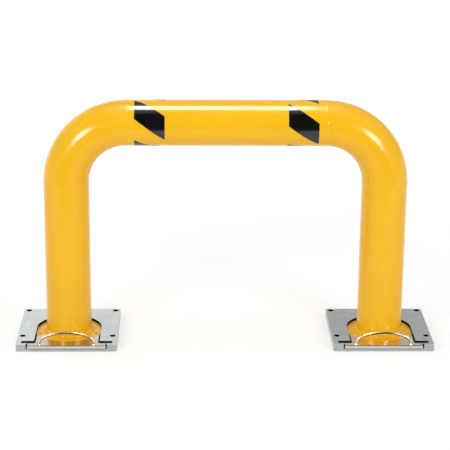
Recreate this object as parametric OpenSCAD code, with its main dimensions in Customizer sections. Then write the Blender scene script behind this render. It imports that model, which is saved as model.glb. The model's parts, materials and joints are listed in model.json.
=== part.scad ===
// Removable hoop guard: a bent pipe hoop whose two flanged feet slide into floor receivers
// and are held there by lift-out lock plates.
// Millimetres, +Z up, front towards -Y. The origin lies on the floor, midway between the receivers.

/* [Hoop] */
// Distance between the axes of the two legs
leg_spacing = 800.1; // [650:0.1:1500]
// Height of the hoop's top above the floor
hoop_top = 619.1; // [450:0.1:1200]
// Outside diameter of the pipe
pipe_od = 114.3; // [100:0.1:127]
// Wall thickness of the pipe
pipe_wall = 6; // [3:0.1:10]
// Centreline radius of the elbows
elbow_radius = 152.4; // [120:0.1:200]

/* [Welds] */
// Width of the butt weld beads round the pipe joints
bead_width = 9; // [6:0.1:14]
// Height of the butt weld beads above the pipe
bead_height = 0.9; // [0.4:0.1:2.5]
// Leg length of the fillet weld between a leg and its flange
fillet_leg = 8; // [4:0.1:9]

/* [Hazard bands] */
// Distance of a band from the end of the top tube
band_inset = 20.1; // [8:0.1:60]
// Width of a band along the top tube
band_width = 75; // [40:1:100]
// Number of black stripes round the tube
stripe_count = 3; // [2:1:5]
// Angle round the tube that one black stripe covers
stripe_angle = 62; // [30:1:70]
// Angle that the stripes wind round the tube across a band
stripe_twist = 56; // [20:1:90]
// Turn of the left band's stripes, up from the front
left_turn = 26; // [-60:1:60]
// Turn of the right band's stripes, up from the front
right_turn = 9; // [-60:1:60]
// Thickness of the stripe film
film_t = 0.3; // [0.1:0.05:1]
// Thickness of the adhesive under the film
bond_t = 0.1; // [0.05:0.05:0.3]

/* [Receivers] */
// Side of the square receiver
receiver_size = 254; // [240:0.1:320]
// Corner radius of the receiver's plates
corner_r = 5; // [1:0.1:8]
// Thickness of the floor plate
floor_t = 6.35; // [4:0.05:12]
// Thickness of the channel plate round the flange
channel_t = 6.35; // [5:0.05:12]
// Thickness of the lip plate over the flange
lip_t = 6.35; // [4:0.05:12]
// Width of the round-backed slot in the lip plate
slot_width = 165.1; // [158:0.1:175]
// Distance from the receiver's middle forward to the leg axis
leg_forward = 4.4; // [0:0.1:12]
// Diameter of the anchor holes
anchor_d = 14.3; // [8:0.1:16]
// Distance of the anchor holes from the sides
anchor_side = 12.7; // [10:0.1:16]
// Distance of the rear anchor holes from the back
anchor_back = 12.7; // [10:0.1:30]
// Distance of the front anchor holes from the front
anchor_front = 60.3; // [45:0.1:90]
// Width of the strip left beside each ear slot
side_strip = 12.7; // [8:0.1:14]
// Distance that the front corners reach in front of the ears
corner_reach = 12.7; // [6:0.1:18]
// Depth of the front corners, front to back
corner_depth = 10.3; // [6:0.1:16]
// Length of the ear slots, front to back
ear_slot = 14.1; // [11:0.1:20]

/* [Flanges] */
// Overlap of the flange under the lip plate
lip_overlap = 6.35; // [3:0.05:9]
// Gap beside the flange in its channel
channel_gap = 1.4; // [0.5:0.1:3]
// Gap between the flange and the lip plate above it
flange_play = 0.35; // [0.1:0.05:1]
// Diameter of the two small holes through each flange
hang_hole_d = 8; // [4:0.1:10]
// Distance of the small holes' middles from the flange's rim
hang_hole_inset = 12; // [9:0.1:16]
// Angle of the small holes, forward from the flange's sides
hang_hole_turn = 22; // [0:1:45]

/* [Locks] */
// Thickness of the lock plate
lock_t = 9.525; // [7:0.005:12]
// Length of the lock plate's ears, front to back
ear_len = 9; // [5:0.1:10]
// Corner radius of the lock plate
lock_corner_r = 1.5; // [0.5:0.1:2.5]
// Width of the tips of the lock plate's two horns, beside the flange
horn_tip = 3; // [1.5:0.1:8]
// Gap round the lock plate
lock_gap = 2.6; // [0.5:0.1:4]
// Gap between the ears and the corners in front of them
ear_gap = 0.4; // [0.2:0.1:1]
// Diameter of the handle's wire
wire_d = 6.35; // [4:0.05:10]
// Distance between the handle's two ends
handle_span = 138; // [100:1:170]
// Height of the handle's wire at its middle, above the lock plate
handle_rise = 31.5; // [26:0.5:60]
// Centreline radius of the bends at the handle's ends
handle_bend_r = 22; // [12:0.5:25]
// Distance of the handle from the front
handle_inset = 9.1; // [7:0.1:14]
// Radius of the weld round each end of the handle
handle_weld_r = 6.6; // [5.5:0.1:8]
// Height of the weld round each end of the handle
handle_weld_h = 3.4; // [2:0.1:5]
// Gap between the handle's wire and the weld round it, where they are closest
weld_fit = 0.05; // [0.02:0.01:0.3]

/* [Hidden] */
$fn = 128;
past = 1; // length that a cutting shape runs past the face it cuts

left = -1;
right = 1;

coat_yellow = [0.98, 0.74, 0.13];
film_black = [0.07, 0.07, 0.08];
galvanised = [0.78, 0.79, 0.80];
bright_zinc = [0.88, 0.86, 0.78];

pipe_r = pipe_od / 2;
axis_y = -leg_forward;
front_y = -receiver_size / 2;

flange_t = channel_t - flange_play;
flange_top = floor_t + flange_t;
flange_d = slot_width + 2 * lip_overlap;
channel_width = flange_d + 2 * channel_gap;

tube_z = hoop_top - pipe_r;
leg_end = tube_z - elbow_radius;
tube_end = leg_spacing / 2 - elbow_radius;
band_x = tube_end - band_inset - band_width / 2;

ear_span = receiver_size - 2 * side_strip;
front_span = ear_span - 2 * corner_reach;
ear_front = front_y + corner_depth;
lock_top = floor_t + lock_t;
handle_y = front_y + handle_inset;
bend_x = handle_span / 2 - handle_bend_r;
bow_r = (pow(bend_x, 2) + pow(handle_rise, 2) - pow(handle_bend_r, 2)) / (2 * (handle_rise - handle_bend_r));
bow_half_angle = asin(bend_x / (bow_r - handle_bend_r));

// Shapes that several pieces share

module rounded_box(low, high, r) {
    for (x = [low[0] + r, high[0] - r], y = [low[1] + r, high[1] - r])
        translate([x, y]) circle(r);
    translate([low[0] + r, low[1]]) square([high[0] - low[0] - 2 * r, high[1] - low[1]]);
    translate([low[0], low[1] + r]) square([high[0] - low[0], high[1] - low[1] - 2 * r]);
}

module at_leg(side) {
    translate([side * leg_spacing / 2, axis_y, 0]) children();
}

module at_receiver(side, z) {
    translate([side * leg_spacing / 2, 0, z]) children();
}

module pipe(length, bore) {
    difference() {
        cylinder(h = length, r = pipe_r);
        translate([0, 0, -past]) cylinder(h = length + 2 * past, r = bore);
    }
}

// Round-backed slot, open to the front
module slot_outline(width) {
    translate([0, axis_y]) circle(d = width);
    translate([-width / 2, front_y - past]) square([width, axis_y - front_y + past]);
}

// T-shaped mouth that the lock plate drops into
module mouth_outline() {
    translate([-front_span / 2, front_y - past]) square([front_span, corner_depth + 2 * past]);
    translate([-ear_span / 2, ear_front]) square([ear_span, ear_slot]);
}

module anchor_outline() {
    for (x = [-1, 1] * (receiver_size / 2 - anchor_side),
         y = [front_y + anchor_front, receiver_size / 2 - anchor_back])
        translate([x, y]) circle(d = anchor_d);
}

module receiver_outline() {
    rounded_box([front_y, front_y], -[front_y, front_y], corner_r);
}

module elbow_solid(side, r) {
    translate([side * tube_end, axis_y, leg_end])
        rotate([90, 0, 0])
            rotate([0, 0, side > 0 ? 0 : 90])
                rotate_extrude(angle = 90)
                    translate([elbow_radius, 0]) circle(r);
}

// Hoop

module top_tube() {
    color(coat_yellow)
        translate([-tube_end, axis_y, tube_z])
            rotate([0, 90, 0]) pipe(2 * tube_end, pipe_r - pipe_wall);
}

module elbow(side) {
    color(coat_yellow)
        difference() {
            elbow_solid(side, pipe_r);
            elbow_solid(side, pipe_r - pipe_wall);
        }
}

module leg(side) {
    color(coat_yellow)
        at_leg(side)
            translate([0, 0, flange_top]) pipe(leg_end - flange_top, pipe_r - pipe_wall);
}

// Bead of a butt weld round a pipe that runs along Z, lens-shaped in section
module bead_ring() {
    section_r = (pow(bead_width / 2, 2) + pow(bead_height, 2)) / (2 * bead_height);
    section_facets = 2 * $fn; // the bead is only a shallow cap of the section's circle
    difference() {
        rotate_extrude()
            translate([pipe_r + bead_height - section_r, 0]) circle(section_r, $fn = section_facets);
        translate([0, 0, -section_r - past]) cylinder(h = 2 * (section_r + past), r = pipe_r);
    }
}

module top_weld(side) {
    color(coat_yellow)
        difference() {
            translate([side * tube_end, axis_y, tube_z]) rotate([0, 90, 0]) bead_ring();
            elbow_solid(side, pipe_r);
        }
}

module leg_weld(side) {
    color(coat_yellow)
        difference() {
            at_leg(side) translate([0, 0, leg_end]) bead_ring();
            elbow_solid(side, pipe_r);
        }
}

// Wedge that winds round the tube and cuts one stripe out of the film
module stripe_wedge(turn) {
    inner = 0.7 * pipe_r; // well inside the film
    outer = 1.4 * pipe_r; // well outside the film
    arc_steps = 3;
    slice_count = 14;
    half = stripe_angle / 2;
    outer_arc = [for (i = [0 : arc_steps]) let (a = -half + i * stripe_angle / arc_steps)
                 outer * [cos(a), sin(a)]];
    inner_edge = [inner * [cos(half), sin(half)], inner * [cos(half), -sin(half)]];
    outline = concat(outer_arc, inner_edge);
    front = 270; // direction of the tube's front in the wedge's plane
    rotate([0, 0, front - turn - stripe_twist / 2])
        linear_extrude(height = band_width, twist = -stripe_twist,
                       slices = slice_count, segments = len(outline))
            polygon(outline);
}

module stripes(side, turn) {
    color(film_black)
        translate([side * band_x - band_width / 2, axis_y, tube_z])
            rotate([0, 90, 0])
                intersection() {
                    difference() {
                        cylinder(h = band_width, r = pipe_r + bond_t + film_t);
                        translate([0, 0, -past]) cylinder(h = band_width + 2 * past, r = pipe_r + bond_t);
                    }
                    union()
                        for (i = [0 : stripe_count - 1])
                            stripe_wedge(turn + i * 360 / stripe_count);
                }
}

// Round foot whose sides and back ride under the lip plate
module flange(side) {
    color(coat_yellow)
        at_leg(side) translate([0, 0, floor_t])
            linear_extrude(flange_t)
                difference() {
                    circle(d = flange_d);
                    for (a = [-hang_hole_turn, 180 + hang_hole_turn])
                        rotate([0, 0, a]) translate([flange_d / 2 - hang_hole_inset, 0])
                            circle(d = hang_hole_d);
                }
}

module flange_weld(side) {
    color(coat_yellow)
        at_leg(side) translate([0, 0, flange_top])
            rotate_extrude()
                polygon([[pipe_r, 0], [pipe_r + fillet_leg, 0], [pipe_r, fillet_leg]]);
}

// Receivers

module floor_plate(side) {
    color(galvanised)
        at_receiver(side, 0)
            linear_extrude(floor_t)
                difference() {
                    receiver_outline();
                    anchor_outline();
                }
}

module channel_plate(side) {
    color(galvanised)
        at_receiver(side, floor_t)
            linear_extrude(channel_t)
                difference() {
                    receiver_outline();
                    anchor_outline();
                    slot_outline(channel_width);
                    mouth_outline();
                }
}

module lip_plate(side) {
    color(galvanised)
        at_receiver(side, floor_t + channel_t)
            linear_extrude(lip_t)
                difference() {
                    receiver_outline();
                    anchor_outline();
                    slot_outline(slot_width);
                    mouth_outline();
                }
}

// Locks

// Bar with an ear at each side and a round notch that the flange fits into
module lock_outline() {
    front_half = front_span / 2 - lock_gap;
    ear_half = ear_span / 2 - lock_gap;
    horn_half = slot_width / 2 - lock_gap;
    notch_r = flange_d / 2 + lock_gap;
    ear_back = ear_front + ear_gap + ear_len;
    horn_back = axis_y - sqrt(pow(notch_r, 2) - pow(horn_half - horn_tip, 2));
    difference() {
        union() {
            rounded_box([-front_half, front_y], [front_half, ear_back], lock_corner_r);
            rounded_box([-ear_half, ear_front + ear_gap], [ear_half, ear_back], lock_corner_r);
            translate([-horn_half, front_y + lock_corner_r])
                square([2 * horn_half, horn_back - front_y - lock_corner_r]);
        }
        translate([0, axis_y]) circle(notch_r);
    }
}

module lock_plate(side) {
    color(galvanised)
        at_receiver(side, floor_t) linear_extrude(lock_t) lock_outline();
}

// Arc of wire in the upright plane through X, its angles counted up from +X
module wire_arc(r, from, sweep) {
    rotate([90, 0, 0])
        rotate([0, 0, from])
            rotate_extrude(angle = sweep)
                translate([r, 0]) circle(d = wire_d);
}

// Shallow bow of wire with a bend down to the lock plate at each end
module handle_bow(side) {
    run_on = 2; // angle that a bend runs on into the bow
    bend_angle = 90 - bow_half_angle + run_on;
    translate([side * leg_spacing / 2, handle_y, lock_top])
        union() {
            translate([0, 0, handle_rise - bow_r]) wire_arc(bow_r, 90 - bow_half_angle, 2 * bow_half_angle);
            translate([bend_x, 0, 0]) wire_arc(handle_bend_r, 0, bend_angle);
            translate([-bend_x, 0, 0]) wire_arc(handle_bend_r, 180 - bend_angle, bend_angle);
        }
}

module lock_handle(side) {
    color(bright_zinc) handle_bow(side);
}

// Domed welds round the handle's ends, bored wide enough for the wire's lean towards the bow
module handle_welds(side) {
    cap_r = (pow(handle_weld_r, 2) + pow(handle_weld_h, 2)) / (2 * handle_weld_h);
    inner_bend_r = handle_bend_r - wire_d / 2;
    lean = inner_bend_r - sqrt(pow(inner_bend_r, 2) - pow(handle_weld_h, 2));
    color(bright_zinc)
        for (x = [-1, 1] * handle_span / 2)
            translate([side * leg_spacing / 2 + x, handle_y, lock_top])
                difference() {
                    translate([0, 0, handle_weld_h - cap_r]) sphere(cap_r);
                    translate([0, 0, -2 * cap_r]) cylinder(h = 2 * cap_r, r = 2 * cap_r);
                    translate([0, 0, -past])
                        cylinder(h = past + 2 * handle_weld_h, r = wire_d / 2 + lean + weld_fit);
                }
}

top_tube();
elbow(left);  // left_elbow
elbow(right);  // right_elbow
leg(left);  // left_leg
leg(right);  // right_leg
top_weld(left);  // left_top_weld
top_weld(right);  // right_top_weld
leg_weld(left);  // left_leg_weld
leg_weld(right);  // right_leg_weld
stripes(left, left_turn);  // left_stripes
stripes(right, right_turn);  // right_stripes
flange(left);  // left_flange
flange(right);  // right_flange
flange_weld(left);  // left_flange_weld
flange_weld(right);  // right_flange_weld
floor_plate(left);  // left_floor_plate
floor_plate(right);  // right_floor_plate
channel_plate(left);  // left_channel_plate
channel_plate(right);  // right_channel_plate
lip_plate(left);  // left_lip_plate
lip_plate(right);  // right_lip_plate
lock_plate(left);  // left_lock_plate
lock_plate(right);  // right_lock_plate
lock_handle(left);  // left_lock_handle
lock_handle(right);  // right_lock_handle
handle_welds(left);  // left_handle_welds
handle_welds(right);  // right_handle_welds
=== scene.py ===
"""Rack column guard: weld detail, finishes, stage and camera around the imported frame."""

import json
import math

import bpy
from bpy.props import FloatProperty, FloatVectorProperty, PointerProperty
from mathutils import Matrix, Quaternion, Vector, noise


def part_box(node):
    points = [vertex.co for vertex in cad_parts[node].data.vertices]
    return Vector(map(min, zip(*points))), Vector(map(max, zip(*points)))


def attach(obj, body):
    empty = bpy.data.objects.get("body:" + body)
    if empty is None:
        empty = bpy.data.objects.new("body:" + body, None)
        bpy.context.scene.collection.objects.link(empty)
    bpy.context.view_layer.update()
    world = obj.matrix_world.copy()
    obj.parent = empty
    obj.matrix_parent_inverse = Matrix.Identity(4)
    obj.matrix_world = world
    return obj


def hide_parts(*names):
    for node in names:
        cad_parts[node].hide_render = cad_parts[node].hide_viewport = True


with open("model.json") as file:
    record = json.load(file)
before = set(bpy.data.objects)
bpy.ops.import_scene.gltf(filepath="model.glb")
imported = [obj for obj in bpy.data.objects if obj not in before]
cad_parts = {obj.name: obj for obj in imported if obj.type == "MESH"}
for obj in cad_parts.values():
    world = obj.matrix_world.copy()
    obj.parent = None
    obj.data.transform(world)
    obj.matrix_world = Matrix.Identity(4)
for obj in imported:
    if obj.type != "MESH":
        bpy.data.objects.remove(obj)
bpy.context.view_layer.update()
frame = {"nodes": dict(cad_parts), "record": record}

bl_info = {
    "name": "Rack column guard",
    "version": (1, 0, 0),
    "blender": (4, 5, 0),
    "location": "3D View > Sidebar > Guard",
    "description": "Welds, finishes and stage of a pipe hoop guard with floor receivers and lock plates",
    "category": "Add Mesh",
}

NODES = frame["nodes"]
SIDES = ("left", "right")
HOOP_BODY = "guard"

# Places read from the frame, in metres
TUBE_LOW, TUBE_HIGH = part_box("top_tube")
LEG_LOW, LEG_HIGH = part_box("right_leg")
PIPE_RADIUS = (TUBE_HIGH.z - TUBE_LOW.z) / 2
TUBE_Z = (TUBE_HIGH.z + TUBE_LOW.z) / 2
TUBE_END = TUBE_HIGH.x
AXIS_Y = (TUBE_HIGH.y + TUBE_LOW.y) / 2
LEG_X = (LEG_LOW.x + LEG_HIGH.x) / 2
LEG_END = LEG_HIGH.z
FLANGE_TOP = LEG_LOW.z
ANCHORS = next(m for m in frame["record"]["mounts"] if m["name"] == "right_anchors")
SLOT_RADIUS = 0.08255  # half the width of the round-backed slot in the lip plates
LOCK_FRONT_HALF = 0.0990  # half the width of a lock plate in front of its ears
# Half width, front and back: first the mouth that a lock plate drops into, then its ear slots
MOUTH_STEPS = (
    (0.1016, -0.1270, -0.1026),
    (0.1143, -0.1167, -0.1026),
)

# Finishes
COAT_IOR = 1.38  # refractive index of the powder coat
FILM_IOR = 1.6  # refractive index of the stripe film
SKIN = 0.0002  # how far the painted shade of a cut wall reaches past the wall
FRONT_MARGIN = 0.001  # depth of the receivers' front faces, which stay bright
EASED_LEVELS = (0.25, 0.97)  # levelness of eased edges, between upright and level faces
HANDLE_BENDS = (0.015, 0.035)  # distance from a handle's middle where the painted highlight on its arms begins, and where it is whole

# Eased edges
MERGE_DISTANCE = 0.00001
FLAT_ANGLE = math.radians(0.4)  # faces that meet at less are one flat face
SHARP_ANGLE = math.radians(35)  # edges that turn more are eased

# Welds
POINTS_PER_RIPPLE = 8
POINTS_ACROSS_BEAD = 9
WELD_SEAT = 0.0003  # depth that a weld's edges sink into what they join
RIPPLE_BOW = 0.7  # how far a ripple bows forward in a bead's middle, in ripples
WANDER_RADIUS = 2.2  # of the circle through the noise that a ring's size wanders along
FILLET_CROWN = 0.2  # share of a fillet's reach that it stands proud of flat
FILLET_BITE = 0.75  # share of a fillet's reach that its ripples cut away at full depth
FILLET_SEED = 7
LUMP_RINGS = 9
LUMP_SPOKES = 40
LUMP_WAVER = 0.08  # share by which a lump's outline wanders in
LUMP_DEPTH = 0.16  # share by which a lump's height swells and sinks
LUMP_LOBES = 5
LUMP_TWIST = 6
LUMP_SEED = 11

# Stage: where each lamp stands in metres, and its width and height
MIDDLE = (0.0, 0.0, 0.4)
STRIP_PLACE, STRIP_SIZE = (0.0, 0.02, 1.95), (0.66, 0.5)
FILL_PLACE, FILL_SIZE = (0.0, 0.1, 2.4), (1.8, 1.2)
FRONT_PLACES, FRONT_SIZE = ((-1.95, -2.55, 1.42), (2.1, -2.5, 1.32)), (0.95, 1.25)
GLINT_SIZE, GLINT_SLANT = (0.72, 1.0), math.radians(45)
BACK_PLACE, BACK_AIM, BACK_SIZE = (-1.35, 1.6, 0.95), (-0.4, 0.0, 0.0), (2.6, 1.5)


class GuardFinishes(bpy.types.PropertyGroup):
    """Colours and gloss of the guard's finishes, with colours that paint in shade and light."""

    coat_colour: FloatVectorProperty(
        name="Powder coat", description="Colour of the hoop's powder coat",
        subtype="COLOR", size=3, min=0, max=1, default=(0.93, 0.49, 0.008))
    coat_drift: FloatVectorProperty(
        name="Powder coat drift", description="Colour that the powder coat drifts to in faint patches",
        subtype="COLOR", size=3, min=0, max=1, default=(0.96, 0.53, 0.012))
    film_colour: FloatVectorProperty(
        name="Stripe film", description="Colour of the black stripe film",
        subtype="COLOR", size=3, min=0, max=1, default=(0.003, 0.003, 0.0032))
    plate_light: FloatVectorProperty(
        name="Plate, light", description="Lightest tone of the galvanised plates",
        subtype="COLOR", size=3, min=0, max=1, default=(0.58, 0.615, 0.60))
    plate_dark: FloatVectorProperty(
        name="Plate, dark", description="Darkest tone of the galvanised plates",
        subtype="COLOR", size=3, min=0, max=1, default=(0.49, 0.53, 0.515))
    # Painted shade: near-black colour that stands in for the shade in the slots, mouths, anchor holes and
    # the gaps at the lock plates' ends.
    recess_painted_shade: FloatVectorProperty(
        name="Cut walls", description="Colour of the cut walls inside slots and anchor holes",
        subtype="COLOR", size=3, min=0, max=1, default=(0.008, 0.006, 0.005))
    # Painted light: the two lock plates are one zinc, their colours set darker on the left and lighter on
    # the right to match how each is lit.
    left_lock_colour: FloatVectorProperty(
        name="Left lock plate", description="Colour of the zinc on the left lock plate",
        subtype="COLOR", size=3, min=0, max=1, default=(0.53, 0.455, 0.365))
    right_lock_colour: FloatVectorProperty(
        name="Right lock plate", description="Colour of the lighter zinc on the right lock plate",
        subtype="COLOR", size=3, min=0, max=1, default=(0.74, 0.65, 0.49))
    # Partly painted light: the lock plates' sheared upright faces take their own colour, partly their
    # real tone, partly set to how brightly they are lit.
    lock_edge: FloatVectorProperty(
        name="Lock edges", description="Colour of the sheared edges of the lock plates",
        subtype="COLOR", size=3, min=0, max=1, default=(0.625, 0.615, 0.58))
    wire_colour: FloatVectorProperty(
        name="Handle wire", description="Colour of the zinc on the handles",
        subtype="COLOR", size=3, min=0, max=1, default=(1.0, 0.86, 0.64))
    coat_gloss: FloatProperty(
        name="Powder coat roughness", description="Roughness of the powder coat where it is smoothest",
        subtype="FACTOR", min=0, max=1, default=0.13)
    film_gloss: FloatProperty(
        name="Film roughness", description="Roughness of the stripe film where it is smoothest",
        subtype="FACTOR", min=0, max=1, default=0.09)
    edge_ease: FloatProperty(
        name="Edge easing", description="Width of the eased edges of plates and flanges",
        unit="LENGTH", min=0.0001, max=0.002, default=0.0004)
    lock_ease: FloatProperty(
        name="Lock edge easing", description="Width of the eased edges of the lock plates",
        unit="LENGTH", min=0.0001, max=0.0014, default=0.0013)


class GuardWelds(bpy.types.PropertyGroup):
    """Sizes of the ripples in the guard's welds."""

    butt_pitch: FloatProperty(
        name="Butt weld ripple", description="Length of one ripple of the pipe's butt welds",
        unit="LENGTH", min=0.001, max=0.01, default=0.0034)
    fillet_pitch: FloatProperty(
        name="Fillet ripple", description="Length of one ripple of the flange fillets",
        unit="LENGTH", min=0.001, max=0.01, default=0.0056)
    ripple_depth: FloatProperty(
        name="Ripple depth", description="Share of a bead's height that its ripples cut away",
        subtype="FACTOR", min=0, max=0.6, default=0.3)
    waver: FloatProperty(
        name="Waver", description="Share by which a bead's size wanders along its length",
        subtype="FACTOR", min=0, max=0.4, default=0.14)


class GuardStage(bpy.types.PropertyGroup):
    """Floor, light and camera."""

    floor_colour: FloatVectorProperty(
        name="Floor", description="Colour of the floor",
        subtype="COLOR", size=3, min=0, max=1, default=(0.72, 0.72, 0.72))
    floor_glow: FloatProperty(
        name="Floor glow",
        description="Light that brings the floor near the object up to white where it is seen",
        subtype="FACTOR", min=0, max=1, default=0.38)
    far_glow: FloatProperty(
        name="Far floor glow",
        description="Light that brings the far floor and its wall up to white where they are seen",
        subtype="FACTOR", min=0, max=1, default=0.70)
    room_light: FloatProperty(
        name="Room light", description="Brightness of the pale room around the object",
        subtype="FACTOR", min=0, max=2, default=0.58)
    strip_light: FloatProperty(
        name="Overhead strip", description="Radiance of the strip light over the top tube",
        min=0, max=40, default=20.8)
    front_light: FloatProperty(
        name="Front softboxes", description="Radiance of the two softboxes in front",
        min=0, max=40, default=8.2)
    elbow_glint: FloatProperty(
        name="Elbow glints", description="Radiance of the two slanted lamps that the elbows reflect",
        min=0, max=40, default=31.5)
    top_fill: FloatProperty(
        name="Top fill", description="Radiance of the wide soft panel above",
        min=0, max=10, default=1.1)
    back_light: FloatProperty(
        name="Back panel", description="Radiance of the panel at the back left",
        min=0, max=5, default=0.62)
    camera_place: FloatVectorProperty(
        name="Camera place", description="Where the camera stands",
        subtype="TRANSLATION", unit="LENGTH", size=3, default=(-0.10294, -3.90264, 1.54447))
    camera_yaw: FloatProperty(
        name="Camera yaw", description="Turn of the camera to the right",
        subtype="ANGLE", default=math.radians(1.499))
    camera_pitch: FloatProperty(
        name="Camera pitch", description="Tilt of the camera down from level",
        subtype="ANGLE", default=math.radians(17.762))
    camera_roll: FloatProperty(
        name="Camera roll", description="Roll of the camera about its line of sight",
        subtype="ANGLE", default=math.radians(0.525))
    camera_lens: FloatProperty(
        name="Camera lens", description="Focal length of the camera in millimetres on a 36 mm sensor",
        min=20, max=300, default=129.23)


# Shader building


def add_node(tree, kind, sockets=None, **settings):
    """Adds a shader node with its settings, and sets or links its input sockets."""
    made = tree.nodes.new(kind)
    for name, value in settings.items():
        setattr(made, name, value)
    for socket, value in (sockets or {}).items():
        if isinstance(value, bpy.types.NodeSocket):
            tree.links.new(value, made.inputs[socket])
        else:
            made.inputs[socket].default_value = value
    return made


def new_finish(name):
    """A new material with its node tree and its main shader."""
    material = bpy.data.materials.new(name)
    material.use_nodes = True
    tree = material.node_tree
    return material, tree, tree.nodes["Principled BSDF"]


def surface_place(tree):
    """Place on the piece in metres, which stays with the piece when it moves."""
    return add_node(tree, "ShaderNodeTexCoord").outputs["Object"]


def grain(tree, place, scale, detail=2.0, roughness=0.5):
    """Cloudy value between 0 and 1, with scale features to the metre."""
    texture = add_node(tree, "ShaderNodeTexNoise", {
        "Vector": place, "Scale": scale, "Detail": detail, "Roughness": roughness})
    return texture.outputs["Fac"]


def stretched(tree, place, scale):
    """The place with each axis scaled by its own factor, for lines along the smallest."""
    return add_node(tree, "ShaderNodeMapping", {"Vector": place, "Scale": scale}).outputs["Vector"]


def spread(tree, value, low, high, start=0.3, end=0.7):
    """Maps the range of a cloudy value to low and high."""
    mapped = add_node(tree, "ShaderNodeMapRange", {
        "Value": value, "From Min": start, "From Max": end, "To Min": low, "To Max": high})
    return mapped.outputs["Result"]


def shade(tree, value, first, second, start=0.3, end=0.7):
    """Blends two colours by a value."""
    ramp = add_node(tree, "ShaderNodeValToRGB", {"Fac": value})
    for stop, position, colour in zip(ramp.color_ramp.elements, (start, end), (first, second)):
        stop.position = position
        stop.color = (*colour, 1.0)
    return ramp.outputs["Color"]


def math_node(tree, operation, first, second=None):
    """Result of one arithmetic step."""
    sockets = {0: first}
    if second is not None:
        sockets[1] = second
    return add_node(tree, "ShaderNodeMath", sockets, operation=operation).outputs[0]


def within(tree, value, low, high):
    """1 where a value lies between low and high, 0 elsewhere."""
    sockets = {0: value, 1: (low + high) / 2, 2: (high - low) / 2}
    return add_node(tree, "ShaderNodeMath", sockets, operation="COMPARE").outputs[0]


def raised(tree, height, distance, strength=1.0, under=None):
    """Normal of a surface raised by a height value, over another raised normal where one is given."""
    sockets = {"Height": height, "Distance": distance, "Strength": strength}
    if under is not None:
        sockets["Normal"] = under
    return add_node(tree, "ShaderNodeBump", sockets).outputs["Normal"]


# Finishes


def powder_coat(finishes):
    """Glossy powder coat with an orange-peel surface and faint drifts of tone."""
    material, tree, shader = new_finish("powder_coat")
    place = surface_place(tree)
    drift = grain(tree, place, scale=9.0, detail=3.0)
    colour = shade(tree, drift, finishes.coat_colour, finishes.coat_drift)
    patchiness = 0.06
    sheen = spread(tree, grain(tree, place, scale=35.0),
                   low=finishes.coat_gloss, high=finishes.coat_gloss + patchiness)
    sag = raised(tree, grain(tree, place, scale=22.0, detail=1.0), distance=0.0006, strength=0.25)
    peel = raised(tree, grain(tree, place, scale=420.0, detail=1.0), distance=0.00012, strength=0.35,
                  under=sag)
    tree.links.new(colour, shader.inputs["Base Color"])
    tree.links.new(sheen, shader.inputs["Roughness"])
    tree.links.new(peel, shader.inputs["Normal"])
    shader.inputs["IOR"].default_value = COAT_IOR
    return material


def stripe_film(finishes):
    """Black adhesive film with a fine calendered grain."""
    material, tree, shader = new_finish("stripe_film")
    place = surface_place(tree)
    fade = 1.8
    patchiness = 0.08
    colour = shade(tree, grain(tree, place, scale=60.0, detail=4.0), finishes.film_colour,
                   [channel * fade for channel in finishes.film_colour])
    sheen = spread(tree, grain(tree, place, scale=90.0, detail=3.0),
                   low=finishes.film_gloss, high=finishes.film_gloss + patchiness)
    wrinkle = raised(tree, grain(tree, place, scale=45.0), distance=0.0004, strength=0.2)
    fine = raised(tree, grain(tree, place, scale=900.0), distance=0.00005, strength=0.3, under=wrinkle)
    tree.links.new(colour, shader.inputs["Base Color"])
    tree.links.new(sheen, shader.inputs["Roughness"])
    tree.links.new(fine, shader.inputs["Normal"])
    shader.inputs["IOR"].default_value = FILM_IOR
    return material


def aside_of_leg(tree, place):
    """Distance to either side of the nearer leg's axis."""
    across = add_node(tree, "ShaderNodeSeparateXYZ", {"Vector": place}).outputs["X"]
    from_leg = math_node(tree, "SUBTRACT", math_node(tree, "ABSOLUTE", across), LEG_X)
    return math_node(tree, "ABSOLUTE", from_leg)


def recess_shade_mask(tree, place):
    """1 where painted shade goes, on the cut walls and hollow floors inside the slots, mouths and anchor
    holes of either receiver; 0 elsewhere.
    """
    axes = add_node(tree, "ShaderNodeSeparateXYZ", {"Vector": place})
    aside = aside_of_leg(tree, place)
    behind = math_node(tree, "MAXIMUM", math_node(tree, "SUBTRACT", axes.outputs["Y"], AXIS_Y), 0.0)
    slot_place = add_node(tree, "ShaderNodeCombineXYZ", {"X": aside, "Y": behind})
    slot_distance = add_node(tree, "ShaderNodeVectorMath", {0: slot_place.outputs[0]}, operation="LENGTH")
    in_slot = math_node(tree, "LESS_THAN", slot_distance.outputs["Value"], SLOT_RADIUS + SKIN)
    front_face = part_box("right_floor_plate")[0].y
    inside = math_node(tree, "GREATER_THAN", axes.outputs["Y"], front_face + FRONT_MARGIN)
    mask = math_node(tree, "MULTIPLY", in_slot, inside)
    for half, front, back in MOUTH_STEPS:
        in_step = math_node(tree, "MULTIPLY", within(tree, aside, 0.0, half + SKIN),
                            within(tree, axes.outputs["Y"], front - SKIN, back + SKIN))
        mask = math_node(tree, "MAXIMUM", mask, math_node(tree, "MULTIPLY", in_step, inside))
    hole_place = add_node(tree, "ShaderNodeCombineXYZ", {"X": aside, "Y": axes.outputs["Y"]})
    hole_radius = ANCHORS["dims"]["hole_r_mm"] / 1000
    for row in (-1, 1):
        centre = (ANCHORS["dims"]["spacing_x_mm"] / 2000,
                  ANCHORS["pos_m"][1] + row * ANCHORS["dims"]["spacing_y_mm"] / 2000, 0.0)
        distance = add_node(tree, "ShaderNodeVectorMath", {0: hole_place.outputs[0], 1: centre},
                            operation="DISTANCE")
        in_hole = math_node(tree, "LESS_THAN", distance.outputs["Value"], hole_radius + SKIN)
        mask = math_node(tree, "MAXIMUM", mask, in_hole)
    return mask


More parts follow.
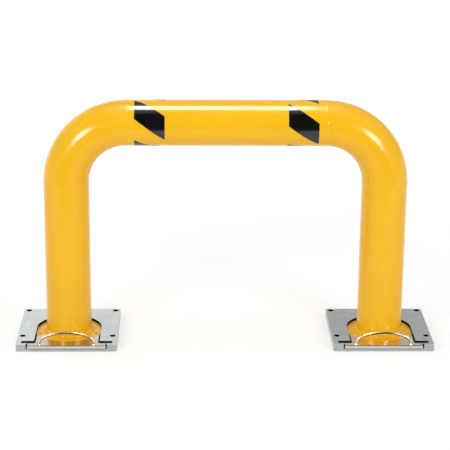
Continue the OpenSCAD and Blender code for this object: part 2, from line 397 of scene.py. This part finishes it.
def upwardness(tree):
    """1 on faces that look up, 0 on upright ones and -1 on faces that look down."""
    normal = add_node(tree, "ShaderNodeNewGeometry").outputs["True Normal"]
    return add_node(tree, "ShaderNodeSeparateXYZ", {"Vector": normal}).outputs["Z"]


def levelness(tree):
    """1 on level faces, 0 on upright ones, and between on eased edges."""
    return math_node(tree, "ABSOLUTE", upwardness(tree))


def mixed(tree, share, first, second):
    """Blends two colours, each a colour or a socket, by a share."""
    blend = add_node(tree, "ShaderNodeMix", {"Factor": share}, data_type="RGBA")
    for socket, colour in zip((blend.inputs[6], blend.inputs[7]), (first, second)):
        if isinstance(colour, bpy.types.NodeSocket):
            tree.links.new(colour, socket)
        else:
            socket.default_value = (*colour, 1.0)
    return blend.outputs[2]


def galvanised_plate(finishes):
    """Galvanised steel plate: soft spangle, faint clouds and scuffs, painted shade on its upright faces,
    and near-black painted shade on the cut walls and hollows of its slots and holes.
    """
    spangle_share = 0.22
    upright_painted_shade = 0.83
    cut_roughness = 0.4
    bare_gloss = 0.5
    material, tree, shader = new_finish("galvanised_steel")
    place = surface_place(tree)
    cells = add_node(tree, "ShaderNodeTexVoronoi", {"Vector": place, "Scale": 85.0})
    spangle = add_node(tree, "ShaderNodeSeparateColor", {"Color": cells.outputs["Color"]})
    clouds = grain(tree, place, scale=26.0, detail=5.0, roughness=0.6)
    scuffs = grain(tree, stretched(tree, place, (30.0, 420.0, 420.0)), scale=1.0, detail=4.0)
    tone = math_node(tree, "ADD", math_node(tree, "MULTIPLY", spangle.outputs["Red"], spangle_share),
                     math_node(tree, "MULTIPLY", clouds, 1 - spangle_share))
    # Painted shade: upright faces are darker than level ones.
    level = spread(tree, levelness(tree), low=upright_painted_shade, high=1.0, start=0.2, end=0.9)
    mottled = shade(tree, tone, finishes.plate_dark, finishes.plate_light)
    zinc = add_node(tree, "ShaderNodeVectorMath", {0: mottled, "Scale": level}, operation="SCALE")
    # Painted shade: near black, with no shine, on the cut walls and hollow floors in the slots, mouths
    # and anchor holes.
    mask = recess_shade_mask(tree, place)
    colour = mixed(tree, mask, zinc.outputs["Vector"], finishes.recess_painted_shade)
    worn = math_node(tree, "ADD", spread(tree, scuffs, low=0.0, high=0.10),
                     spread(tree, spangle.outputs["Green"], low=0.24, high=0.34, start=0.0, end=1.0))
    rough = math_node(tree, "ADD", worn, math_node(tree, "MULTIPLY", mask, cut_roughness))
    tree.links.new(colour, shader.inputs["Base Color"])
    tree.links.new(rough, shader.inputs["Roughness"])
    bare = math_node(tree, "SUBTRACT", 1.0, mask)
    tree.links.new(bare, shader.inputs["Metallic"])
    tree.links.new(math_node(tree, "MULTIPLY", bare, bare_gloss), shader.inputs["Specular IOR Level"])
    tree.links.new(raised(tree, clouds, distance=0.0002, strength=0.25), shader.inputs["Normal"])
    return material


def zinc_lock(finishes):
    """Bright zinc with a faint rolled grain; painted shade darkens its eased edges and the gaps at its
    ends, its upright faces take their own colour, partly painted light, and each side's plate is tinted
    to how it is lit.
    """
    cloud_shade = 0.93
    edge_painted_shade = 0.2
    material, tree, shader = new_finish("bright_zinc_plate")
    place = surface_place(tree)
    lines = grain(tree, stretched(tree, place, (14.0, 700.0, 700.0)), scale=1.0, detail=3.0)
    clouds = grain(tree, place, scale=40.0, detail=4.0)
    across = add_node(tree, "ShaderNodeSeparateXYZ", {"Vector": place}).outputs["X"]
    # Painted light: each side's lock plate takes its own colour to match how it is lit.
    own = mixed(tree, math_node(tree, "GREATER_THAN", across, 0.0), finishes.left_lock_colour,
                finishes.right_lock_colour)
    clouded = spread(tree, clouds, low=cloud_shade, high=1.0)
    top = add_node(tree, "ShaderNodeVectorMath", {0: own, "Scale": clouded}, operation="SCALE")
    level = levelness(tree)
    # The sheared upright faces take their own colour, partly their real tone, partly painted light set to
    # how they are lit.
    mostly_level = math_node(tree, "GREATER_THAN", level, 0.5)
    plain = mixed(tree, mostly_level, finishes.lock_edge, top.outputs["Vector"])
    # Painted shade: a dark line along the eased edges.
    on_edge = within(tree, level, *EASED_LEVELS)
    with_painted_edges = mixed(tree, on_edge, plain, [channel * edge_painted_shade for channel in finishes.lock_edge])
    # Painted shade: the lock plate's end walls in the gaps beside the receiver are near black.
    at_end = math_node(tree, "GREATER_THAN", aside_of_leg(tree, place), LOCK_FRONT_HALF - SKIN)
    gap_shade_mask = math_node(tree, "MULTIPLY", at_end, math_node(tree, "LESS_THAN", level, EASED_LEVELS[1]))
    colour = mixed(tree, gap_shade_mask, with_painted_edges, finishes.recess_painted_shade)
    tree.links.new(colour, shader.inputs["Base Color"])
    tree.links.new(spread(tree, lines, low=0.16, high=0.27), shader.inputs["Roughness"])
    tree.links.new(raised(tree, lines, distance=0.00004, strength=0.3), shader.inputs["Normal"])
    shader.inputs["Metallic"].default_value = 1.0
    return material


def zinc_wire(finishes):
    """Drawn wire with a warm zinc tint, a painted highlight on its arms, and painted shade on its
    underside, reaching higher in its middle.
    """
    cloud_shade = 0.8
    middle_painted_shade = 0.62
    underside_painted_shade = 0.07
    material, tree, shader = new_finish("bright_zinc_wire")
    place = surface_place(tree)
    lines = grain(tree, stretched(tree, place, (30.0, 900.0, 900.0)), scale=1.0, detail=3.0)
    clouds = grain(tree, place, scale=38.0, detail=4.0)
    tinted = shade(tree, clouds, [channel * cloud_shade for channel in finishes.wire_colour],
                   finishes.wire_colour)
    # Painted highlight: the arms are brighter than the middle.
    aside = aside_of_leg(tree, place)
    bend, arm_start = HANDLE_BENDS
    arm_painted_light = spread(tree, aside, low=middle_painted_shade, high=1.0, start=bend, end=arm_start)
    bright = add_node(tree, "ShaderNodeVectorMath", {0: tinted, "Scale": arm_painted_light}, operation="SCALE")
    # Painted shade: the underside is near dark, over more of the wire in its middle.
    painted_underside = [channel * underside_painted_shade for channel in finishes.wire_colour]
    lit = math_node(tree, "ADD", upwardness(tree),
                    spread(tree, aside, low=-0.25, high=0.15, start=bend, end=arm_start))
    painted_light_share = spread(tree, lit, low=0.0, high=1.0, start=-0.15, end=0.25)
    tree.links.new(mixed(tree, painted_light_share, painted_underside, bright.outputs["Vector"]), shader.inputs["Base Color"])
    tree.links.new(spread(tree, lines, low=0.20, high=0.30), shader.inputs["Roughness"])
    tree.links.new(raised(tree, clouds, distance=0.0002, strength=0.2), shader.inputs["Normal"])
    shader.inputs["Metallic"].default_value = 1.0
    return material


def finish_named(name, maker, finishes):
    """The finish of that name, made the first time that it is asked for."""
    return bpy.data.materials.get(name) or maker(finishes)


def dress(piece, material):
    """Gives a piece one material in place of any that it has."""
    piece.data.materials.clear()
    piece.data.materials.append(material)


def ease_edges(piece, width):
    """Rounds the sharp edges of a plate and evens the shading of its flat faces."""
    weld = piece.modifiers.new("Joined corners", "WELD")
    weld.merge_threshold = MERGE_DISTANCE
    flat = piece.modifiers.new("Whole flat faces", "DECIMATE")
    flat.decimate_type = "DISSOLVE"
    flat.angle_limit = FLAT_ANGLE
    bevel = piece.modifiers.new("Eased edges", "BEVEL")
    bevel.width = width
    bevel.segments = 2
    bevel.use_clamp_overlap = False
    bevel.limit_method = "ANGLE"
    bevel.angle_limit = SHARP_ANGLE
    piece.modifiers.new("Even shading", "WEIGHTED_NORMAL")


# Weld shapes


def mesh_piece(name, points, faces, matrix):
    """New smooth mesh object whose points are moved to their place by a matrix."""
    mesh = bpy.data.meshes.new(name)
    mesh.from_pydata(points, [], faces)
    mesh.transform(matrix)
    mesh.shade_smooth()
    piece = bpy.data.objects.new(name, mesh)
    bpy.context.scene.collection.objects.link(piece)
    return piece


def ring_piece(name, section_at, steps, matrix):
    """Solid ring round Z; section_at gives its closed outline, as (radius, height), at an angle."""
    points = []
    for step in range(steps):
        angle = 2 * math.pi * step / steps
        for radius, height in section_at(angle):
            points.append((radius * math.cos(angle), radius * math.sin(angle), height))
    count = len(points) // steps
    faces = []
    for step in range(steps):
        here = step * count
        there = (step + 1) % steps * count
        for point in range(count):
            after = (point + 1) % count
            faces.append((here + point, there + point, there + after, here + after))
    return mesh_piece(name, points, faces, matrix)


def scallop(turns, across):
    """Height share of a bead's overlapping ripples, which bow forward in the bead's middle."""
    bow = RIPPLE_BOW * (1 - across * across)
    return abs(math.sin(math.pi * (turns + bow)))


def wander(angle, seed):
    """Smooth value between -1 and 1 that wanders round a ring and closes on itself."""
    spot = Vector((WANDER_RADIUS * math.cos(angle), WANDER_RADIUS * math.sin(angle), seed))
    return noise.noise(spot) * 2


def bead_places():
    """Places across a bead from one edge to the other, -1 to 1."""
    last = POINTS_ACROSS_BEAD - 1
    return [2 * point / last - 1 for point in range(POINTS_ACROSS_BEAD)]


def butt_bead(name, node, axis, matrix, welds, seed):
    """Rippled bead round a pipe joint, as wide and high as the node's own."""
    low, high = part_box(node)
    half_width = (high[axis] - low[axis]) / 2
    height = (high.y - low.y) / 2 - PIPE_RADIUS
    ripples = round(2 * math.pi * PIPE_RADIUS / welds.butt_pitch)

    def section_at(angle):
        size = 1 - welds.waver * (1 + wander(angle, seed)) / 2
        outline = []
        for across in bead_places():
            cut = 1 - welds.ripple_depth * (1 - scallop(ripples * angle / (2 * math.pi), across))
            crown = (1 - across * across) * height * size * cut
            outline.append((PIPE_RADIUS - WELD_SEAT + crown, across * half_width * size))
        return outline

    return ring_piece(name, section_at, ripples * POINTS_PER_RIPPLE, matrix)


def flange_fillet(name, node, matrix, welds, seed):
    """Rippled fillet between a leg and its flange, as large as the node's own."""
    low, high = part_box(node)
    reach = high.z - low.z
    ripples = round(2 * math.pi * (PIPE_RADIUS + reach / 2) / welds.fillet_pitch)

    def section_at(angle):
        size = 1 - welds.waver * (1 + wander(angle, seed)) / 2
        outline = [(PIPE_RADIUS - WELD_SEAT, -WELD_SEAT)]
        for across in bead_places():
            cut = welds.ripple_depth * (1 - scallop(ripples * angle / (2 * math.pi), across))
            swell = (1 - across * across) * reach * (FILLET_CROWN - FILLET_BITE * cut)
            outline.append((PIPE_RADIUS - WELD_SEAT + reach * size * (1 - across) / 2 + swell,
                            reach * size * (1 + across) / 2 - WELD_SEAT + swell))
        return outline

    return ring_piece(name, section_at, ripples * POINTS_PER_RIPPLE, matrix)


def weld_lump(centre, radius, height, seed):
    """Points and faces of a lumpy weld dome that stands on a flat face."""
    rings, spokes = LUMP_RINGS, LUMP_SPOKES
    points = [(centre.x, centre.y, centre.z + height)]
    for ring in range(1, rings + 1):
        out = ring / rings
        for spoke in range(spokes):
            angle = 2 * math.pi * spoke / spokes
            reach = radius * out * (1 - LUMP_WAVER * (1 + wander(angle, seed)))
            lump = 1 + LUMP_DEPTH * math.sin(LUMP_LOBES * angle + LUMP_TWIST * out + seed) * out
            lift = height * (1 - out * out) * lump
            points.append((centre.x + reach * math.cos(angle), centre.y + reach * math.sin(angle),
                           centre.z + lift - WELD_SEAT * out))
    faces = [(0, 1 + spoke, 1 + (spoke + 1) % spokes) for spoke in range(spokes)]
    for ring in range(rings - 1):
        here = 1 + ring * spokes
        there = here + spokes
        for spoke in range(spokes):
            after = (spoke + 1) % spokes
            faces.append((here + spoke, there + spoke, there + after, here + after))
    faces.append(tuple(reversed(range(1 + (rings - 1) * spokes, 1 + rings * spokes))))
    return points, faces


def handle_weld_pair(name, node, seed):
    """The two welds that hold a handle's ends, where the node has its own."""
    low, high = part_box(node)
    radius = (high.y - low.y) / 2
    points = []
    faces = []
    for index, x in enumerate((low.x + radius, high.x - radius)):
        centre = Vector((x, (low.y + high.y) / 2, low.z))
        lump_points, lump_faces = weld_lump(centre, radius, high.z - low.z, seed + index)
        faces += [tuple(len(points) + corner for corner in face) for face in lump_faces]
        points += lump_points
    return mesh_piece(name, points, faces, Matrix.Identity(4))


# Stage pieces


def softbox(name, place, aim, size, radiance, turn=0.0):
    """Rectangular lamp of an even radiance, turned about its line of aim, that the camera doesn't see."""
    width, height = size
    lamp = bpy.data.lights.new(name, "AREA")
    lamp.shape = "RECTANGLE"
    lamp.size = width
    lamp.size_y = height
    lamp.energy = radiance * math.pi * width * height
    box = bpy.data.objects.new(name, lamp)
    box.location = place
    aimed = (Vector(aim) - Vector(place)).to_track_quat("-Z", "Y")
    box.rotation_euler = (aimed @ Quaternion((0, 0, 1), turn)).to_euler()
    box.visible_camera = False
    bpy.context.scene.collection.objects.link(box)
    return box


def studio_floor(stage):
    """Wide pale floor and the low wall round it, lifted to white where they are seen or reflected."""
    half = 40.0
    wall_height = 3.0
    below = -0.0004
    near, far = 0.8, 3.5
    corners = [(-half, -half, below), (half, -half, below), (half, half, below), (-half, half, below)]
    floor = mesh_piece("studio_floor", corners, [(0, 1, 2, 3)], Matrix.Identity(4))
    rim = [(x, y, wall_height) for x, y, _ in corners]
    count = len(corners)
    sides = [(side, (side + 1) % count, (side + 1) % count + count, side + count)
             for side in range(count)]
    wall = mesh_piece("studio_wall", corners + rim, sides, Matrix.Identity(4))
    material = bpy.data.materials.new("studio_floor")
    material.use_nodes = True
    tree = material.node_tree
    tree.nodes.clear()
    rays = add_node(tree, "ShaderNodeLightPath").outputs
    seen = math_node(tree, "MAXIMUM", rays["Is Camera Ray"], rays["Is Glossy Ray"])
    seen = math_node(tree, "MAXIMUM", seen, rays["Is Transmission Ray"])
    matt = add_node(tree, "ShaderNodeBsdfDiffuse", {"Color": (*stage.floor_colour, 1.0)})
    away = add_node(tree, "ShaderNodeVectorMath", {0: surface_place(tree)}, operation="LENGTH")
    lift = spread(tree, away.outputs["Value"], low=stage.floor_glow, high=stage.far_glow,
                  start=near, end=far)
    glow = add_node(tree, "ShaderNodeEmission", {
        "Color": (1.0, 1.0, 1.0, 1.0), "Strength": math_node(tree, "MULTIPLY", seen, lift)})
    both = add_node(tree, "ShaderNodeAddShader", {0: matt.outputs[0], 1: glow.outputs[0]})
    add_node(tree, "ShaderNodeOutputMaterial", {"Surface": both.outputs[0]})
    dress(floor, material)
    dress(wall, material)
    return floor, wall


def dark_canopy():
    """Dark cloth over the camera's side that only reflections see, so that glare stays off the front."""
    radius = 5.2
    half_width = 4.5
    top = math.radians(62)
    strips = 12
    lift = 0.002
    front_edge = -1.2
    profile = [(front_edge, lift)]
    for strip in range(strips + 1):
        rise = top * strip / strips
        profile.append((-radius * math.cos(rise), lift + radius * math.sin(rise)))
    points = [(x, y, z) for y, z in profile for x in (-half_width, half_width)]
    faces = [(2 * row, 2 * row + 1, 2 * row + 3, 2 * row + 2) for row in range(len(profile) - 1)]
    canopy = mesh_piece("dark_canopy", points, faces, Matrix.Identity(4))
    material, tree, shader = new_finish("dark_cloth")
    weave = grain(tree, surface_place(tree), scale=40.0)
    cloth = shade(tree, weave, (0.03, 0.03, 0.03), (0.05, 0.05, 0.05))
    tree.links.new(cloth, shader.inputs["Base Color"])
    shader.inputs["Roughness"].default_value = 0.9
    dress(canopy, material)
    canopy.visible_camera = False
    canopy.visible_diffuse = False
    canopy.visible_shadow = False
    return canopy


def pale_room(stage):
    """Even pale light from all round."""
    world = bpy.data.worlds.new("pale_room")
    world.use_nodes = True
    background = world.node_tree.nodes["Background"]
    background.inputs["Color"].default_value = (1.0, 1.0, 1.0, 1.0)
    background.inputs["Strength"].default_value = stage.room_light
    bpy.context.scene.world = world


def photo_camera(stage):
    """Camera at the photograph's viewing angle."""
    yaw, pitch, roll = stage.camera_yaw, stage.camera_pitch, stage.camera_roll
    ahead = Vector((math.sin(yaw) * math.cos(pitch), math.cos(yaw) * math.cos(pitch), -math.sin(pitch)))
    level = Vector((math.cos(yaw), -math.sin(yaw), 0))
    upright = level.cross(ahead)
    right = level * math.cos(roll) + upright * math.sin(roll)
    up = upright * math.cos(roll) - level * math.sin(roll)
    turned = Matrix((right, up, -ahead)).transposed().to_4x4()
    data = bpy.data.cameras.new("photo_camera")
    data.sensor_width = 36.0
    data.sensor_fit = "HORIZONTAL"
    data.lens = stage.camera_lens
    data.clip_end = 200.0
    camera = bpy.data.objects.new("photo_camera", data)
    camera.matrix_world = Matrix.Translation(stage.camera_place) @ turned
    bpy.context.scene.collection.objects.link(camera)
    bpy.context.scene.camera = camera


# Operators


class GUARD_OT_coat_hoop(bpy.types.Operator):
    """Gives the pipes and flanges their yellow powder coat"""

    bl_idname = "guard.coat_hoop"
    bl_label = "Coat the hoop"

    def execute(self, context):
        finishes = context.scene.guard_finishes
        coat = finish_named("powder_coat", powder_coat, finishes)
        dress(NODES["top_tube"], coat)
        for side in SIDES:
            for part in ("elbow", "leg", "flange"):
                dress(NODES[f"{side}_{part}"], coat)
            ease_edges(NODES[f"{side}_flange"], finishes.edge_ease)
        return {"FINISHED"}


class GUARD_OT_lay_butt_welds(bpy.types.Operator):
    """Lays a rippled bead round each of the four pipe joints"""

    bl_idname = "guard.lay_butt_welds"
    bl_label = "Lay the butt welds"

    def execute(self, context):
        welds = context.scene.guard_welds
        coat = finish_named("powder_coat", powder_coat, context.scene.guard_finishes)
        for index, side in enumerate(SIDES):
            sign = 2 * index - 1
            at_tube = Matrix.Translation((sign * TUBE_END, AXIS_Y, TUBE_Z)) @ Matrix.Rotation(
                math.pi / 2, 4, "Y")
            at_leg = Matrix.Translation((sign * LEG_X, AXIS_Y, LEG_END))
            joints = (("top_weld", 0, at_tube), ("leg_weld", 2, at_leg))
            for seed, (part, axis, matrix) in enumerate(joints):
                node = f"{side}_{part}"
                bead = butt_bead(f"{node}_bead", node, axis, matrix, welds, 3 * index + seed)
                dress(bead, coat)
                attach(bead, HOOP_BODY)
                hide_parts(node)
        return {"FINISHED"}


class GUARD_OT_lay_flange_welds(bpy.types.Operator):
    """Lays a rippled fillet between each leg and its flange"""

    bl_idname = "guard.lay_flange_welds"
    bl_label = "Lay the flange welds"

    def execute(self, context):
        welds = context.scene.guard_welds
        coat = finish_named("powder_coat", powder_coat, context.scene.guard_finishes)
        for index, side in enumerate(SIDES):
            node = f"{side}_flange_weld"
            at_foot = Matrix.Translation(((2 * index - 1) * LEG_X, AXIS_Y, FLANGE_TOP))
            fillet = flange_fillet(f"{node}_fillet", node, at_foot, welds, FILLET_SEED + index)
            dress(fillet, coat)
            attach(fillet, HOOP_BODY)
            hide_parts(node)
        return {"FINISHED"}


class GUARD_OT_apply_stripes(bpy.types.Operator):
    """Gives the hazard stripes their black film finish"""

    bl_idname = "guard.apply_stripes"
    bl_label = "Apply the stripes"

    def execute(self, context):
        film = finish_named("stripe_film", stripe_film, context.scene.guard_finishes)
        for side in SIDES:
            dress(NODES[f"{side}_stripes"], film)
        return {"FINISHED"}


class GUARD_OT_dress_receivers(bpy.types.Operator):
    """Gives the receivers' plates eased edges and a galvanised finish"""

    bl_idname = "guard.dress_receivers"
    bl_label = "Dress the receivers"

    def execute(self, context):
        finishes = context.scene.guard_finishes
        zinc = finish_named("galvanised_steel", galvanised_plate, finishes)
        for side in SIDES:
            for part in ("floor_plate", "channel_plate", "lip_plate"):
                plate = NODES[f"{side}_{part}"]
                dress(plate, zinc)
                ease_edges(plate, finishes.edge_ease)
        return {"FINISHED"}


class GUARD_OT_dress_locks(bpy.types.Operator):
    """Gives the lock plates eased edges and a bright zinc finish"""

    bl_idname = "guard.dress_locks"
    bl_label = "Dress the lock plates"

    def execute(self, context):
        finishes = context.scene.guard_finishes
        zinc = finish_named("bright_zinc_plate", zinc_lock, finishes)
        for side in SIDES:
            plate = NODES[f"{side}_lock_plate"]
            dress(plate, zinc)
            ease_edges(plate, finishes.lock_ease)
        return {"FINISHED"}


class GUARD_OT_dress_handles(bpy.types.Operator):
    """Gives the handles their wire finish and welds them to the lock plates"""

    bl_idname = "guard.dress_handles"
    bl_label = "Dress the handles"

    def execute(self, context):
        wire = finish_named("bright_zinc_wire", zinc_wire, context.scene.guard_finishes)
        for index, side in enumerate(SIDES):
            dress(NODES[f"{side}_lock_handle"], wire)
            node = f"{side}_handle_welds"
            welds = handle_weld_pair(f"{node}_lumps", node, LUMP_SEED + 2 * index)
            dress(welds, wire)
            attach(welds, f"{side}_lock")
            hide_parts(node)
        return {"FINISHED"}


class GUARD_OT_set_stage(bpy.types.Operator):
    """Sets the floor, the studio light and the camera"""

    bl_idname = "guard.set_stage"
    bl_label = "Set the stage"

    def execute(self, context):
        stage = context.scene.guard_stage
        studio_floor(stage)
        dark_canopy()
        pale_room(stage)
        tube_middle = (0.0, AXIS_Y, TUBE_Z)
        strip = softbox("overhead_strip", STRIP_PLACE, tube_middle, STRIP_SIZE, stage.strip_light)
        strip.visible_diffuse = False
        softbox("top_fill", FILL_PLACE, MIDDLE, FILL_SIZE, stage.top_fill)
        for side, place in zip(SIDES, FRONT_PLACES):
            front = softbox(f"front_{side}_softbox", place, MIDDLE, FRONT_SIZE, stage.front_light)
            front.visible_glossy = False
            slant = math.copysign(GLINT_SLANT, -place[0])
            glint = softbox(f"{side}_elbow_glint", place, MIDDLE, GLINT_SIZE, stage.elbow_glint, slant)
            glint.visible_diffuse = False
        softbox("back_left_panel", BACK_PLACE, BACK_AIM, BACK_SIZE, stage.back_light)
        photo_camera(stage)
        context.scene.view_settings.view_transform = "Standard"
        return {"FINISHED"}


class GUARD_PT_sidebar(bpy.types.Panel):
    """Steps that dress the guard, and the values they use"""

    bl_idname = "GUARD_PT_sidebar"
    bl_label = "Rack column guard"
    bl_space_type = "VIEW_3D"
    bl_region_type = "UI"
    bl_category = "Guard"

    def draw(self, context):
        for step in STEPS:
            self.layout.operator(step.bl_idname)
        for group in GROUPS:
            values = getattr(context.scene, group)
            for name in values.bl_rna.properties.keys():
                if name not in ("rna_type", "name"):
                    self.layout.prop(values, name)


GROUPS = {"guard_finishes": GuardFinishes, "guard_welds": GuardWelds, "guard_stage": GuardStage}
STEPS = (
    GUARD_OT_coat_hoop, GUARD_OT_lay_butt_welds, GUARD_OT_lay_flange_welds, GUARD_OT_apply_stripes,
    GUARD_OT_dress_receivers, GUARD_OT_dress_locks, GUARD_OT_dress_handles, GUARD_OT_set_stage,
)


def register():
    """Registers the value groups, the operators and the panel."""
    for name, group in GROUPS.items():
        bpy.utils.register_class(group)
        setattr(bpy.types.Scene, name, PointerProperty(type=group))
    for step in STEPS:
        bpy.utils.register_class(step)
    bpy.utils.register_class(GUARD_PT_sidebar)


def unregister():
    """Removes what register added."""
    bpy.utils.unregister_class(GUARD_PT_sidebar)
    for step in reversed(STEPS):
        bpy.utils.unregister_class(step)
    for name, group in GROUPS.items():
        delattr(bpy.types.Scene, name)
        bpy.utils.unregister_class(group)


def main():
    """Dresses the guard and sets the stage."""
    register()
    bpy.ops.guard.coat_hoop()
    bpy.ops.guard.lay_butt_welds()
    bpy.ops.guard.lay_flange_welds()
    bpy.ops.guard.apply_stripes()
    bpy.ops.guard.dress_receivers()
    bpy.ops.guard.dress_locks()
    bpy.ops.guard.dress_handles()
    bpy.ops.guard.set_stage()


if __name__ == "__main__":
    main()
